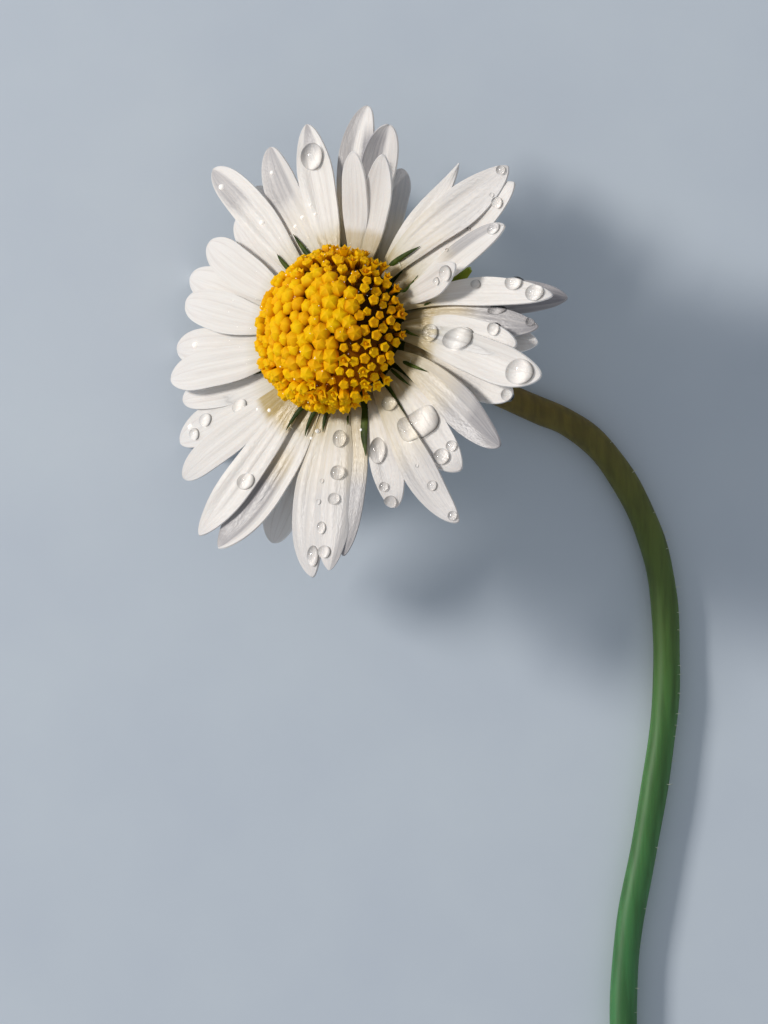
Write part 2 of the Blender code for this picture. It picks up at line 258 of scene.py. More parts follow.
# %% The values of the petals
# Tip across and up from the head's middle, tip height, direction of the root, width, turn, hollow,
# bow, layer, sideways swing, and the tip's shape if it isn't round.
PETALS = (
    (10.3, 1.62, 0.0, 15, 1.45, -8, 0.1, 0.1, 0, 0.4, "arch"),
    (11.08, 1.55, -2.3, 9, 1.85, 10, 0.08, 0.1, 2, 0.5, "arch"),
    (5.5, 3.22, 1.6, 20, 1.5, 0, 0.12, 0.2, 0, -0.4, "arch"),
    (7.95, 5.1, 0.8, 22, 1.45, -8, 0.1, 0.1, 0, 0.25),
    (8.44, 7.26, 0.3, 34, 2.05, -4, 0.06, 0.1, 1, -0.15, "arch"),
    (8.12, 8.08, 0.4, 48, 2.2, 4, 0.1, 0.2, 0, -0.4, "arch"),
    (5.7, 8.3, -0.3, 54, 1.5, 12, 0.14, 0.2, 1, -0.5, "sharp"),
    (2.9, 8.15, -2.4, 64, 1.65, 22, 0.08, 0.3, 2, 0.1),
    (1.9, 8.75, 1.4, 71, 1.6, 8, 0.12, -0.2, 0, 0.0, "arch"),
    (2.2, 10.32, -0.6, 74, 1.95, 18, 0.3, 0.4, 1, 0.0),
    (0.42, 8.92, 1.6, 82, 1.55, -6, 0.12, -0.2, 0, 0.0),
    (1.15, 11.3, -1.0, 90, 1.95, 0, 0.16, 0.3, 2, 0.5),
    (-1.92, 10.4, -0.1, 101, 2.0, 4, 0.14, 0.2, 0, 0.0, "arch"),
    (-3.78, 9.3, -0.8, 114, 1.95, -8, 0.12, 0.3, 1, 0.6),
    (-4.6, 7.3, -1.6, 124, 1.7, -8, 0.08, 0.3, 2, 0.0),
    (-6.7, 8.2, -0.5, 130, 1.9, 6, 0.1, 0.3, 0, -0.5),
    (-5.5, 5.7, -2.2, 142, 1.75, 0, 0.06, 0.4, 2, 0.0),
    (-6.95, 4.5, -1.7, 151, 1.95, 4, 0.08, 0.5, 0, 0.0),
    (-7.85, 2.8, -2.9, 162, 2.1, -4, 0.06, 0.6, 1, -0.1),
    (-8.08, 1.5, -1.9, 170, 2.05, 4, 0.08, 0.6, 0, 0.0),
    (-8.55, -0.85, -2.95, 182, 2.0, -4, 0.06, 0.6, 1, 0.0),
    (-8.85, -2.35, -1.9, 191, 2.0, 4, 0.08, 0.6, 0, 0.0),
    (-8.2, -3.45, -2.7, 201, 1.85, 0, 0.06, 0.5, 2, 0.0),
    (-8.4, -5.55, -3.65, 211, 1.95, -5, 0.08, 0.6, 1, 0.0),
    (-8.15, -7.4, -1.6, 219, 1.8, -8, 0.08, 0.5, 0, -0.1),
    (-7.35, -10.25, 0.1, 229, 1.85, -10, 0.1, 0.3, 0, 0.3, "arch"),
    (-6.38, -10.88, -0.15, 240, 2.4, 4, 0.14, 0.25, 1, 0.7, "arch"),
    (-3.65, -10.65, -2.2, 248, 2.4, 0, 0.06, 0.3, 2, -0.3),
    (-1.6, -12.35, -0.4, 256, 2.3, 14, 0.08, 0.3, 1, -0.9, "arch"),
    (-0.75, -12.0, 0.3, 266, 2.15, -4, -0.05, 0.2, 0, 0.0, "arch"),
    (-0.08, -11.28, 0.12, 278, 1.45, -10, 0.04, 0.2, 0.4, 0.35, "arch"),
    (2.52, -8.88, -0.5, 289, 1.75, -8, 0.1, 0.4, 1, 0.4),
    (5.65, -9.6, 0.5, 301, 1.8, -6, 0.12, 0.2, 0, -0.7, "arch"),
    (5.78, -7.0, -0.2, 315, 2.15, -8, 0.1, 0.3, 1, -0.4, "arch"),
    (7.72, -5.8, 0.1, 332, 2.0, 24, 0.18, 0.4, 0, 0.0),
    (8.35, -3.3, -0.6, 343, 2.0, 0, 0.08, 0.2, 2, -0.3),
    (9.72, -2.32, 0.5, 351, 2.05, 6, 0.14, 0.2, 0, -0.4),
    (8.5, -0.8, 0.2, 357, 1.7, 0, 0.1, 0.2, 0, 0.0),
    (9.6, -0.7, -1.2, 357, 1.8, 0, 0.08, 0.2, 2, 0.0, "arch"),
    (9.6, 0.1, -0.8, 5, 1.6, -6, 0.1, 0.5, 1, -0.1, "arch"),
)
ROOT_RADIUS = 3.3
ROWS = 30
COLUMNS = 12

# %% [markdown]
# The middle line of a petal is a Bezier curve from its root to its tip, and rows of points are set
# across it, closer together towards the tip. The width grows to its full value past the middle and
# closes over the tip, in one of three ways. A shallow hollow, two low pleats and a slow wave keep
# the sheet from looking like card.

# %% Laying the rows of a petal
# Where a tip starts to close, how suddenly, and how blunt it ends.
TIP_SHAPES = {"round": (0.62, 2.3, 0.56), "arch": (0.56, 2.2, 0.64), "sharp": (0.4, 1.5, 0.9)}
LAYER_STEP = 0.3


def curve_at(points, t):
    a, b, c, d = points
    s = 1 - t
    place = a * s**3 + b * 3 * s * s * t + c * 3 * s * t * t + d * t**3
    along = (b - a) * s * s + (c - b) * 2 * s * t + (d - c) * t * t
    return place, along.normalized()


def place_of_row(row):
    """How far along the petal a row of points lies, from 0 to 1."""
    return 1 - (1 - row / ROWS) ** 1.4


def petal_width(t, shape):
    start, power, fall = TIP_SHAPES[shape]
    grown = 0.3 + 0.7 * math.sin(min(t / 0.6, 1) * math.pi / 2)
    end = max(t - start, 0) / (1 - start)
    return grown * max(1 - 0.995 * end**power, 0) ** fall


def petal_rows(across, up, height, root, width, turn, hollow, bow, layer, swing, shape="round"):
    """A petal's points, in millimetres, in rows across it from its root to its tip."""
    level = -0.05 - LAYER_STEP * layer
    tip_depth = (height - FACING.x * across - FACING.y * up) / FACING.z
    tip = HEAD + Vector((across, up, tip_depth))
    angle = math.radians(root)
    start = head_point(ROOT_RADIUS, angle, level)
    spoke = (head_point(1, angle, 0) - HEAD).normalized()
    length = (tip - start).length
    sideways = FACING.cross(tip - start).normalized()
    middle = start.lerp(tip, 0.68) + FACING * bow + sideways * swing
    path = (start, start + spoke * length * 0.36, middle, tip)
    phase = chance.uniform(0, 6)
    pleats = chance.uniform(0.01, 0.03)
    rows = []
    for row in range(ROWS + 1):
        t = place_of_row(row)
        place, along = curve_at(path, t)
        side = FACING.cross(along).normalized()
        side.rotate(Matrix.Rotation(math.radians(turn) * t * t, 3, along))
        normal = along.cross(side)
        full = width * petal_width(t, shape) * (1 + 0.025 * math.sin(t * 13 + phase))
        points = []
        for column in range(COLUMNS + 1):
            share = 2 * column / COLUMNS - 1
            folds = math.cos(3 * math.pi * share) * math.sin(math.pi * min(t * 1.1, 1))
            lift = hollow * full * (share * share - 0.5) * min(t * 2, 1)
            lift += pleats * full * folds
            lift += 0.03 * math.sin(t * 8 + phase + share) * t
            points.append(place + side * full / 2 * share + normal * lift)
        rows.append(points)
    return rows


# %% Making the petals
PETAL_THICKNESS = 0.26
PETAL_RIM = 0.35


def sheet_of(rows, thickness, rim):
    """A thin sheet over rows of points, from a grid laid on them. Its rim has a share of its
    thickness, and no point of it is under the surface that the flower lies on."""
    deselect()
    bpy.ops.mesh.primitive_grid_add(
        x_subdivisions=len(rows[0]) - 1, y_subdivisions=len(rows) - 1, size=1
    )
    obj = bpy.context.active_object
    for index, vertex in enumerate(obj.data.vertices):
        row, column = divmod(index, len(rows[0]))
        vertex.co = rows[row][column] * MM
    group = obj.vertex_groups.new(name="thick")
    last = len(rows[0]) - 1
    for index in range(len(obj.data.vertices)):
        row, column = divmod(index, len(rows[0]))
        inward = min(column, last - column) / last * 2
        group.add([index], min(1, inward * 1.6) * min(1, (len(rows) - 1 - row) / 5), "REPLACE")
    thick = obj.modifiers.new("thickness", "SOLIDIFY")
    thick.thickness = thickness * MM
    thick.offset = 0
    thick.vertex_group = "thick"
    thick.thickness_vertex_group = rim
    apply_modifiers(obj)
    obj.vertex_groups.clear()
    for vertex in obj.data.vertices:
        vertex.co.z = max(vertex.co.z, 0)
    return obj


# %% [markdown]
# Dew has soaked into some petals. The stained root ends in a sharp line, and a few petals have a
# glassy patch of their own. The same marks also paint shade: grey where a petal lies in another's
# shadow or turns from the lamp, and tan where the disc shades the roots. A number at each point of
# the sheet tells the material how wet or how shaded it is.

# %% Where the petals are soaked, and where shade is painted on them
# How far up the petal the root's stain reaches, and how strong it is, by the petal's place in the
# list. Near the disc the stain also stands for the disc's shadow over the roots, as painted shade.
# Petals that aren't named have a short stain.
SHORT_STAIN = (0.12, 0.7)
STAINS_AND_SHADE = {
    0: (0.2, 0.7), 3: (0.16, 0.7), 8: (0.29, 0.58), 10: (0.28, 0.58), 12: (0.2, 0.7),
    24: (0.27, 0.95), 25: (0.24, 0.95), 26: (0.2, 0.85), 28: (0.2, 0.8), 33: (0.2, 0.7),
    34: (0.16, 0.8), 35: (0.24, 0.85), 36: (0.2, 0.8), 37: (0.22, 0.85), 38: (0.22, 0.8),
    39: (0.24, 0.85),
}
STAIN_EDGE = 0.05
# A soaked end, which on the shaded petals is painted shade: where it starts along the petal, and
# how much.
SOAKED_AND_SHADED_ENDS = {
    1: (0.2, 0.85), 5: (0.3, 0.28), 7: (0.2, 0.4), 9: (0.3, 0.32), 13: (0.2, 0.25), 28: (0.3, 0.3),
    29: (0.2, 0.28), 30: (0.2, 0.7), 31: (0.2, 0.3), 32: (0.1, 0.4), 33: (0.2, 0.24),
    34: (0.0, 0.5),
}
# Glassy patches, partly wet tissue and partly painted shade where another petal's shadow falls or a
# flank turns from the lamp: from and to along the petal, from and to across it, where its edges are
# at -1 and 1, and how much.
WET_AND_SHADE_PATCHES = {
    3: [(0.5, 0.92, 0.3, 1.5, 0.6)],
    9: [(0.4, 0.9, 0.1, 1.5, 0.7)],
    11: [(0.2, 0.95, 0.4, 1.5, 0.6), (0.55, 0.76, -1.5, -0.3, 0.85)],
    12: [(0.87, 0.98, -0.4, 0.4, 0.7)],
    13: [(0.62, 0.98, -0.5, 0.9, 0.55)],
    15: [(0.72, 0.98, -0.2, 0.8, 0.55)],
    26: [(0.42, 0.96, -1.4, 0.5, 0.72)],
    29: [(0.2, 1.1, 0.5, 1.5, 0.5)],
    34: [(0.72, 1.1, -1.5, 1.5, 0.75)],
    35: [(0.1, 0.7, -1.5, 1.5, 0.3)],
    39: [(0.62, 1.1, -1.5, 1.5, 0.7), (0.1, 0.5, 0.2, 1.5, 0.7)],
}
PATCH_ENDS = 0.16
PATCH_SIDES = 0.3


def inside(value, start, end, soft):
    """1 between start and end, falling to 0 over the soft distance outside them."""
    return min(max(1 - max(start - value, value - end) / soft, 0), 1)


def grid_place(index, rows, columns):
    """A point's row and column. Both faces of a sheet hold the grid's points in the same order."""
    return divmod(index % ((rows + 1) * (columns + 1)), columns + 1)


def wet_and_shade_values(number, points):
    """How wet each point of a petal is, with the painted shade that the same number carries."""
    reach, strength = STAINS_AND_SHADE.get(number, SHORT_STAIN)
    dry, soaked_and_shaded_end = SOAKED_AND_SHADED_ENDS.get(number, (0, 0))
    values = []
    for index in range(points):
        row, column = grid_place(index, ROWS, COLUMNS)
        t = place_of_row(row)
        share = 2 * column / COLUMNS - 1
        wet_and_shade = strength * inside(t, -1, reach, STAIN_EDGE)
        wet_and_shade = max(wet_and_shade, soaked_and_shaded_end * inside(t, dry, 2, PATCH_ENDS))
        for start, end, left, right, amount in WET_AND_SHADE_PATCHES.get(number, ()):
            along = inside(t, start, end, PATCH_ENDS)
            wet_and_shade = max(wet_and_shade, amount * along * inside(share, left, right, PATCH_SIDES))
        values.append(wet_and_shade)
    return values


petal_sheets = []
for number, petal in enumerate(PETALS):
    sheet = sheet_of(petal_rows(*petal), PETAL_THICKNESS, PETAL_RIM)
    mark(sheet, "tone", chance.uniform(0, 1))
    # The wet number also carries painted shade.
    mark(sheet, "wet_and_shade", wet_and_shade_values(number, len(sheet.data.vertices)))
    petal_sheets.append(sheet)
petals = join("white_petals", petal_sheets)
smooth(petals)
keep(petals, "petals", "petal", petal_tissue)

# %% [markdown]
# ## The disc
# The yellow middle isn't one thing but over 200 tiny flowers on a dome. They open from the rim
# inwards, so the middle is still shut and many outer ones are open tubes with five pointed lobes.
# They are set in the spiral that such heads grow in: each turns on from the last by the golden
# angle, and equal steps over the dome's area keep them evenly packed.

# %% The floret material
# Corolla tissue is waxy and strongly coloured, and thin enough for light to glow inside it. The
# tubes are darker at their roots, where no light gets in.
floret_tissue, tree, shader = new_material(
    "floret_tissue", Roughness=0.6, Specular_IOR_Level=0.1, Subsurface_Weight=0.2,
    Subsurface_Radius=(1.0, 0.8, 0.2), Subsurface_Scale=0.1 * MM,
)
rise, tone = (
    add(tree, "Attribute", {"attribute_name": name}).outputs["Fac"] for name in ("rise", "tone")
)
root_to_tip = add(
    tree, "ValToRGB", Fac=rise,
    stops=((0.0, "#3E2A02"), (0.35, "#B27400"), (0.65, "#E09E00"), (1.0, "#FFCA00")),
)
shade = add(
    tree, "ValToRGB", Fac=tone, stops=((0.0, "#F2CC80"), (0.5, "#FFF0D0"), (1.0, "#FFFFFF"))
)
yellow = add(tree, "Mix", MULTIPLY, _0=0.55, _6=root_to_tip, _7=shade).outputs[2]
tree.links.new(yellow, shader.inputs["Base Color"])
place = add(tree, "TexCoord").outputs["Object"]
grain = add(tree, "TexNoise", Vector=place, Scale=14000, Detail=2)
grain_bump = add(tree, "Bump", Strength=0.3, Distance=0.012 * MM, Height=grain)
tree.links.new(grain_bump.outputs["Normal"], shader.inputs["Normal"])
print("floret tissue:", len(tree.nodes), "nodes")

# %% [markdown]
# A turned shape can be drawn up from a circle: extrude the ring, move it to its next height and
# scale it to its next radius. The same tool makes the dome, the floret's tube and the green cup.

# %% Turning a profile by extruding
def turned(profile, sides, ring=False):
    """A turned mesh in millimetres from (radius, height) pairs, drawn up ring by ring."""
    deselect()
    radius, height = profile[0]
    cap = "NOTHING" if ring else "NGON"
    bpy.ops.mesh.primitive_circle_add(
        vertices=sides, radius=radius, location=(0, 0, height), fill_type=cap
    )
    bpy.ops.object.transform_apply(location=True)
    bpy.ops.object.mode_set(mode="EDIT")
    extrude = bpy.ops.mesh.extrude_edges_move if ring else bpy.ops.mesh.extrude_region_move
    for next_radius, next_height in profile[1:] + (profile[:1] if ring else []):
        extrude(TRANSFORM_OT_translate={"value": (0, 0, next_height - height)})
        grow = next_radius / radius
        bpy.ops.transform.resize(value=(grow, grow, 1), center_override=(0, 0, next_height))
        radius, height = next_radius, next_height
    bpy.ops.mesh.select_all(action="SELECT")
    bpy.ops.mesh.remove_doubles(threshold=0.0001)
    bpy.ops.mesh.normals_make_consistent(inside=False)
    bpy.ops.object.mode_set(mode="OBJECT")
    # Extruding lists a ring's faces in another order on each run, so they are sorted by place.
    piece = bpy.context.active_object
    mesh = bmesh.new()
    mesh.from_mesh(piece.data)
    listed = [
        (index // sides if ring else 0, sorted(tuple(vertex.co) for vertex in face.verts), index)
        for index, face in enumerate(mesh.faces)
    ]
    mesh.faces.ensure_lookup_table()
    for place, (_, _, index) in enumerate(sorted(listed)):
        mesh.faces[index].index = place
    mesh.faces.sort()
    mesh.to_mesh(piece.data)
    mesh.free()
    return piece


# %% The dome under the florets
DOME_RADIUS = 3.3
DOME_BASE = 0.6
DOME_RISE = 2.3
DOME_STEPS = 12


def dome_painted_light(co):
    """How bright the dome's skin is: painted light makes it brighter on the left, towards the lamp,
    and at the bottom, and painted shade makes its low wall dark.
    """
    return 0.24 - 0.1 * co.x - 0.12 * min(co.y, 0) if co.z > 0.5 else 0.1


profile = [(2.3, -1.3), (2.3, 0.45), (3.2, 0.45)]
for step in range(DOME_STEPS):
    slope = math.radians(90 - step * 90 / DOME_STEPS)
    profile.append((DOME_RADIUS * math.sin(slope), DOME_BASE + DOME_RISE * math.cos(slope)))
dome = turned(profile, 48)
mark(dome, "rise", dome_painted_light)
mark(dome, "tone", 0.4)
print("dome:", len(dome.data.vertices), "points")

# %% [markdown]
# The four kinds of floret are modelled once each, from a turned tube of ten sides. Every other
# corner is one of the five lobes. They are folded shut over the wide bud, over the plump young head
# and over the narrower closed head, and are drawn out and up into a star on the oldest florets.

# %% A bud, a young head, a closed head and a star
LOBE_ANGLE = math.pi / 5
TUBE_SIDES = 10


def make_head(profile, lobes):
    """A tube from the profile. The lobes give the growth and the rise of some of its rings, first
    at a lobe and then between two."""
    head = turned(profile, TUBE_SIDES)
    for vertex in head.data.vertices:
        ring = min(range(len(profile)), key=lambda i: abs(vertex.co.z - profile[i][1]))
        between = math.floor(math.atan2(vertex.co.y, vertex.co.x) / LOBE_ANGLE) % 2
        grow, raised = lobes.get(ring, ((1, 0), (1, 0)))[between]
        vertex.co = (vertex.co.x * grow, vertex.co.y * grow, vertex.co.z + raised)
    return head


bud = make_head(
    [(0.22, -0.5), (0.4, -0.22), (0.45, -0.03), (0.37, 0.14), (0.2, 0.23), (0.05, 0.25)],
    {2: ((1.03, 0), (0.96, 0)), 3: ((1.05, 0.01), (0.89, -0.02)), 4: ((1.08, 0.02), (0.8, -0.03))},
)
mark(bud, "rise", lambda co: min(max(0.12 + (co.z + 0.2) / 0.44, 0), 1))
closed_head = make_head(
    [(0.1, -0.85), (0.15, -0.15), (0.25, 0.02), (0.28, 0.13), (0.2, 0.24), (0.07, 0.22)],
    {2: ((1.03, 0), (0.94, 0)), 3: ((1.05, 0.01), (0.9, -0.01)), 4: ((1.08, 0.02), (0.82, -0.04))},
)
# The middle of a closed head is painted darker: painted shade in its dimple.
mark(closed_head, "rise", lambda co: min(
    0.35 + (co.z + 0.45) / 0.7, 1 if co.xy.length > 0.12 else 0.8
))
young_head = make_head(
    [(0.14, -0.75), (0.23, -0.35), (0.29, -0.05), (0.3, 0.1), (0.21, 0.22), (0.06, 0.22)],
    {2: ((1.03, 0), (0.95, 0)), 3: ((1.05, 0.01), (0.89, -0.02)), 4: ((1.1, 0.02), (0.76, -0.04))},
)
mark(young_head, "rise", lambda co: min(max(0.24 + (co.z + 0.36) / 0.66, 0), 1))
tube = make_head(
    [(0.1, -0.85), (0.14, -0.15), (0.24, 0.1), (0.31, 0.27), (0.18, 0.22), (0.1, 0.14)],
    {2: ((1.0, 0), (0.92, 0)), 3: ((1.14, 0.06), (0.76, -0.04))},
)
anthers = turned([(0.07, 0.1), (0.1, 0.27), (0.04, 0.36)], 5)
star = join("star", [tube, anthers])
# The mouth of an open tube is painted darker: painted shade inside it.
mark(star, "rise", lambda co: (
    min(max(0.35 + (co.z + 0.45) / 0.75, 0), 1) * (0.75 if co.xy.length < 0.14 else 1)
))
patterns = (bud, young_head, closed_head, star)
for pattern in patterns:
    print(len(pattern.data.polygons), "faces")

# %% [markdown]
# The slope of the dome at each step of the spiral gives a floret its lean. The florets on the left
# and at the bottom are younger, so the shut ones reach further down there, and they are fatter.
# Their colour is painted lighter on the left and at the bottom and darker on the right: painted
# light and shade from the lamp on the left. The sizes and leans vary a little, from a seeded
# source, so that every run gives the same flower.

# %% Setting the florets in their spiral
FLORETS = 225
STEEPEST = math.radians(88)
GOLDEN_ANGLE = math.pi * (3 - math.sqrt(5))
BUD_AGE = 0.27
HEADS_RADIUS = 3.82
HEADS_BASE = 0.65
HEADS_RISE = 2.65
florets = [dome]
for index in range(FLORETS):
    share = (index + 0.5) / FLORETS
    turn = index * GOLDEN_ANGLE
    slope = math.acos(1 - share * (1 - math.cos(STEEPEST)))
    rightward = share * math.cos(turn)
    downward = -share * math.sin(turn)
    age = share + chance.uniform(-0.06, 0.06) + 0.06 * math.cos(turn)
    opened = chance.random() < 0.08 + 0.36 * share
    if age < BUD_AGE:
        pattern, upright = bud, 0.97
        size = chance.uniform(0.84, 1.08)
        lift = chance.uniform(-0.08, 0.1)
    elif rightward < -0.1 or downward > 0.5 and rightward < 0.25:
        pattern, upright = young_head, 0.95
        size = chance.uniform(0.82, 1.1)
        lift = chance.uniform(-0.1, 0.25) + 0.3 * max(-rightward - 0.2, 0)
    else:
        pattern, upright = star if opened else closed_head, 0.84
        size = chance.uniform(0.8, 1.08) * (1 - 0.2 * rightward)
        lift = chance.uniform(-0.2, 0.16)
    radius = HEADS_RADIUS * math.sin(slope)
    height = HEADS_BASE + HEADS_RISE * math.cos(slope)
    lean = slope * upright + chance.uniform(-0.16, 0.16)
    aside = (0, chance.uniform(-0.1, 0.1), lift)
    move = Matrix.Rotation(turn, 4, "Z") @ Matrix.Translation((radius, 0, height))
    move = move @ Matrix.Rotation(lean, 4, "Y") @ Matrix.Translation(aside)
    move = move @ Matrix.Rotation(chance.uniform(0, 6.3), 4, "Z") @ Matrix.Scale(size, 4)
    floret = copy_of(pattern, move)
    heights = floret.data.attributes["rise"].data
    # Painted light: florets on the left and at the bottom get a lighter colour, and those on the
    # right a darker one, as the lamp on the left would light them.
    painted_light_shift = 0.3 * max(-rightward, 0) - 0.25 * max(rightward, 0) + 0.6 * max(downward - 0.1, 0)
    heights.foreach_set("value", [level.value + painted_light_shift for level in heights])
    mark(floret, "tone", chance.uniform(0, 1))
    florets.append(floret)
for pattern in patterns:
    bpy.data.objects.remove(pattern)
disc = join("yellow_disc", florets)
# The disc is a little longer than it is wide, and sits a little low on the head.
onto_head = TO_METRES @ TO_HEAD @ Matrix.Translation((-0.06, -0.16, 0))
disc.data.transform(onto_head @ Matrix.Diagonal((1.01, 1.05, 1, 1)))
smooth(disc, 42)
keep(disc, "disc", "floret", floret_tissue)

# %% [markdown]
# ## The green cup and its bracts
# Behind the petals a cup of narrow leaves, the bracts, held the bud shut. They are a dull dark
# green and turn yellower towards their ends, and have short pale hairs.

# %% The bract material
bract_tissue, tree, shader = new_material(
    "bract_tissue", Roughness=0.5, Specular_IOR_Level=0.2, Subsurface_Weight=0.1,
    Subsurface_Scale=0.2 * MM,
)
place = add(tree, "TexCoord").outputs["Object"]
blotch = add(tree, "TexNoise", Vector=place, Scale=900, Detail=4, Roughness=0.6)
green = add(
    tree, "ValToRGB", Fac=blotch, stops=((0.3, "#202C05"), (0.5, "#34440A"), (0.75, "#5F6F22"))
)
along_bract = add(tree, "Attribute", {"attribute_name": "along"}).outputs["Fac"]
near_end = add(tree, "MapRange", Value=along_bract, From_Min=0.6)
end_green = light_of("#A4B23C")
leaf_colour = add(tree, "Mix", BLEND, _0=near_end, _6=green, _7=end_green).outputs[2]
tree.links.new(leaf_colour, shader.inputs["Base Color"])
pores = add(tree, "TexNoise", Vector=place, Scale=9000, Detail=2)
pore_bump = add(tree, "Bump", Strength=0.4, Distance=0.02 * MM, Height=pores)
tree.links.new(pore_bump.outputs["Normal"], shader.inputs["Normal"])

# %% The cup and the bracts
CUP_DEPTH = 4.7
CUP_PROFILE = [
    (1.0, -CUP_DEPTH), (1.35, -CUP_DEPTH), (2.3, -4.15), (3.4, -3.1), (4.1, -1.9), (4.04, -0.95),
    (3.8, -0.95), (2.6, -1.2), (1.0, -1.2),
]
BRACTS = 13
BRACT_START = math.radians(-2.7)
BRACT_PATH = [Vector(place) for place in ((2.0, -4.0), (3.3, -3.35), (4.9, -2.2), (6.9, -1.95))]
BRACT_ROWS = 16
BRACT_COLUMNS = 8
BRACT_THICKNESS = 0.3
GREEN_RIM = 0.4


def bract_rows(angle, reach):
    """A bract's points, along the cup's flank and out. It is widest in the middle and pointed."""
    rows = []
    for row in range(BRACT_ROWS + 1):
        t = row / BRACT_ROWS
        (radius, height), _ = curve_at(BRACT_PATH, t * reach)
        half = 0.95 * (0.62 + 0.38 * math.sin(min(t / 0.45, 1) * math.pi / 2))
        half *= max(1 - max(t - 0.4, 0) / 0.6, 0.02) ** 0.62
        points = []
        for column in range(BRACT_COLUMNS + 1):
            share = 2 * column / BRACT_COLUMNS - 1
            droop = 0.1 * share * share - 0.04 * (1 - abs(share))
            turned_by = angle + share * math.atan2(half, radius)
            points.append(head_point(radius, turned_by, height - droop))
        rows.append(points)
    return rows


cup = turned(CUP_PROFILE, 48, ring=True)
cup.data.transform(TO_METRES @ TO_HEAD)
bracts = [cup]
for index in range(BRACTS):
    angle = BRACT_START + index * 2 * math.pi / BRACTS
    reach = chance.uniform(0.93, 1.0)
    bract = sheet_of(bract_rows(angle, reach), BRACT_THICKNESS, GREEN_RIM)
    places = [grid_place(i, BRACT_ROWS, BRACT_COLUMNS) for i in range(len(bract.data.vertices))]
    mark(bract, "along", [row / BRACT_ROWS for row, _ in places])
    bracts.append(bract)
print(len(bracts) - 1, "bracts round the cup")

# %% [markdown]
# Some bracts stand up between the petals' narrow roots, and show as dark green slivers round the
# disc. Each starts on the cup's flank and comes up to where its point is seen. A line followed
# down from above that place finds the petals, so that the point comes to lie just over them.

# %% The slivers between the petals
# Where each is first seen and where it ends, across and up from the head's middle, and its width.
SLIVERS = (
    (-1.8, 3.75, -2.6, 4.85, 0.42), (-3.0, 3.2, -3.4, 3.85, 0.36), (2.45, 3.4, 3.75, 4.15, 0.42),
    (3.1, 1.75, 3.65, 2.7, 0.3), (3.45, 0.95, 4.3, 1.35, 0.3), (2.9, -0.1, 3.7, -0.35, 0.24),
    (3.0, -1.7, 4.1, -2.1, 0.3), (2.65, -2.3, 3.25, -2.8, 0.26), (1.8, -2.2, 3.1, -4.35, 0.3),
    (0.2, -3.6, 0.15, -4.75, 0.34), (-0.95, -4.0, -1.1, -5.1, 0.34),
    (-1.65, -4.1, -2.0, -5.3, 0.34), (-2.2, -3.8, -2.95, -5.0, 0.38),
    (0.85, -3.3, 1.05, -6.3, 0.95), (-3.95, -1.9, -4.6, -2.2, 0.3),
)
SLIVER_ROWS = 12
SLIVER_THICKNESS = 0.12
OVER_THE_FLOWER = 100
petal_tree = BVHTree.FromObject(petals, bpy.context.evaluated_depsgraph_get())


def above_petals(across, up, clearance):
    """The point over the petals there, in millimetres, or a point at the ring's own level."""
    x, y = HEAD.x + across, HEAD.y + up
    hit, _, _, _ = petal_tree.ray_cast(Vector((x, y, OVER_THE_FLOWER)) * MM, Vector((0, 0, -1)))
    level = HEAD.z - (FACING.x * across + FACING.y * up) / FACING.z - 0.6
    found = hit.z / MM if hit else -OVER_THE_FLOWER
    return Vector((x, y, (found if found > level - 1.2 else level) + clearance))


def sliver_rows(across, up, tip_across, tip_up, width):
    foot = head_point(3.4, math.atan2(up, across), -0.2)
    seen = above_petals(across, up, 0.08)
    tip = above_petals(tip_across, tip_up, 0.1)
    path = (foot, foot.lerp(seen, 0.9), seen.lerp(tip, 0.5) + FACING * 0.12, tip)
    rows = []
    for row in range(SLIVER_ROWS + 1):
        t = row / SLIVER_ROWS
        place, along = curve_at(path, t)
        side = FACING.cross(along).normalized()
        half = width / 2 * min(1, 0.6 + t) * 0.72 * max(1 - t**3, 0.04)
        rows.append([
            place + side * half * share + FACING * 0.12 * half * (1 - share * share)
            for share in (-1, -0.5, 0, 0.5, 1)
        ])
    return rows


bracts += [sheet_of(sliver_rows(*sliver), SLIVER_THICKNESS, GREEN_RIM) for sliver in SLIVERS]
involucre = join("green_cup", bracts)
smooth(involucre)
keep(involucre, "involucre", "bract", bract_tissue)

# %% [markdown]
# ## The stem
# One bare stalk, about 1.4 mm thick, bends over behind the head and lies along the surface. Under
# the head it is brownish olive, where it is soft and new, and turns a cooler green further down.
# A curve with a round bevel is the natural way to make a stalk that only bends.

# %% The stem material
stem_skin, tree, shader = new_material(
    "stem_skin", Roughness=0.5, Subsurface_Weight=0.15, Subsurface_Scale=0.3 * MM
)
place = add(tree, "TexCoord").outputs["Object"]
distance = add(tree, "SeparateXYZ", Vector=place).outputs["Y"]
down_stem = add(tree, "MapRange", Value=distance, From_Min=0.018, From_Max=-0.012)
base_green = add(
    tree, "ValToRGB", Fac=down_stem,
    stops=((0.0, "#7C6018"), (0.28, "#5E6E26"), (0.6, "#4A7E3A"), (1.0, "#428248")),
)
streaks_at = add(tree, "Mapping", Vector=place, Scale=(2600, 240, 2600))
streaks = add(tree, "TexNoise", Vector=streaks_at, Scale=1, Detail=3)
streak_colour = add(tree, "ValToRGB", Fac=streaks, stops=((0.35, "#B8B8A0"), (0.6, "#FFFFFF")))
skin = add(tree, "Mix", MULTIPLY, _0=0.6, _6=base_green, _7=streak_colour).outputs[2]
tree.links.new(skin, shader.inputs["Base Color"])
streak_bump = add(tree, "Bump", Strength=0.4, Distance=0.03 * MM, Height=streaks)
tree.links.new(streak_bump.outputs["Normal"], shader.inputs["Normal"])

